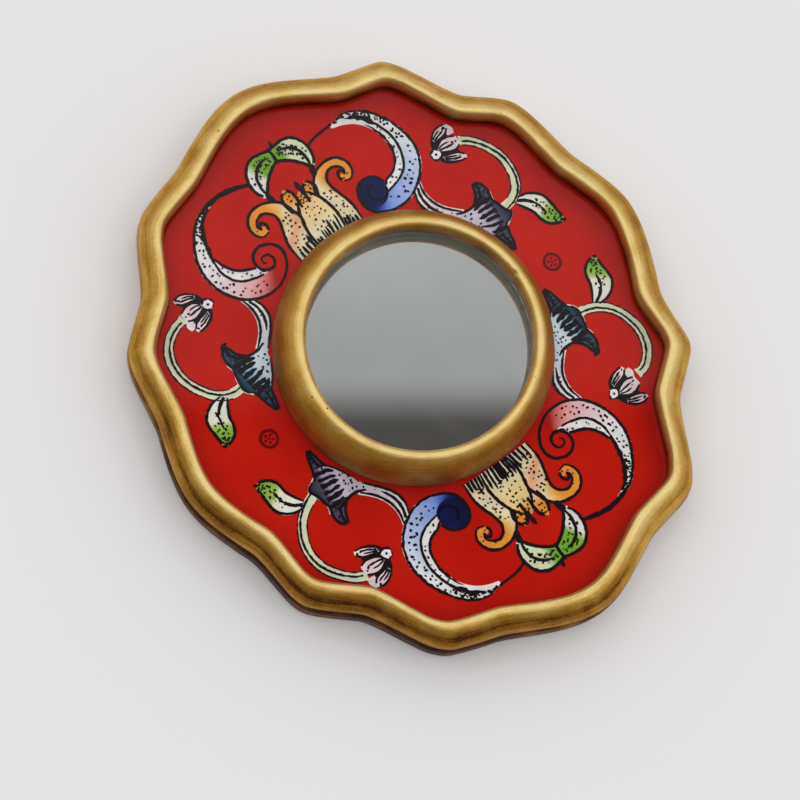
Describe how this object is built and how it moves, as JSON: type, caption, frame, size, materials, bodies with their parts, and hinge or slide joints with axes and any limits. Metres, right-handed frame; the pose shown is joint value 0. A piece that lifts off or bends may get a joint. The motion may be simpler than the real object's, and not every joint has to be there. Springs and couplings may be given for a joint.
{
  "type": "hand mirror",
  "caption": "Palm mirror: a small round looking glass in a raised gilt ring, on a scalloped panel of painted glass in a carved gilt rim.",
  "frame": {"origin": "centre of the back face that the mirror rests on", "axes": "+Z out of the looking glass, +Y along the longer side of the scalloped outline, +X across it"},
  "size_m": [0.101, 0.1184, 0.0162],
  "materials": {
    "rim_gilt": "aged gold leaf over carved wood, umber in the recesses",
    "bezel_gilt": "aged gold leaf over turned wood",
    "felt": "short dark felt",
    "board": "raw fibreboard",
    "card": "plain card",
    "paint": "red ground with painted scrolls and flowers",
    "panel_glass": "clear polished glass",
    "steel": "bare sheet steel",
    "pad": "foam adhesive",
    "silvering": "silver film",
    "looking_glass": "polished looking glass"
  },
  "bodies": {
    "root": {"scalloped_rim": "rim_gilt", "felt_back": "felt", "back_board": "board", "cushion_card": "card", "paint_film": "paint", "glass_panel": "panel_glass", "glazier_point_1": "steel", "glazier_point_2": "steel", "glazier_point_3": "steel", "glazier_point_4": "steel", "glazier_point_5": "steel", "glazier_point_6": "steel", "glazier_point_7": "steel", "glazier_point_8": "steel", "bezel_ring": "bezel_gilt", "adhesive_pad": "pad", "mirror_seat": "board", "mirror_silvering": "silvering", "mirror_glass": "looking_glass"}
  },
  "joints": []
}
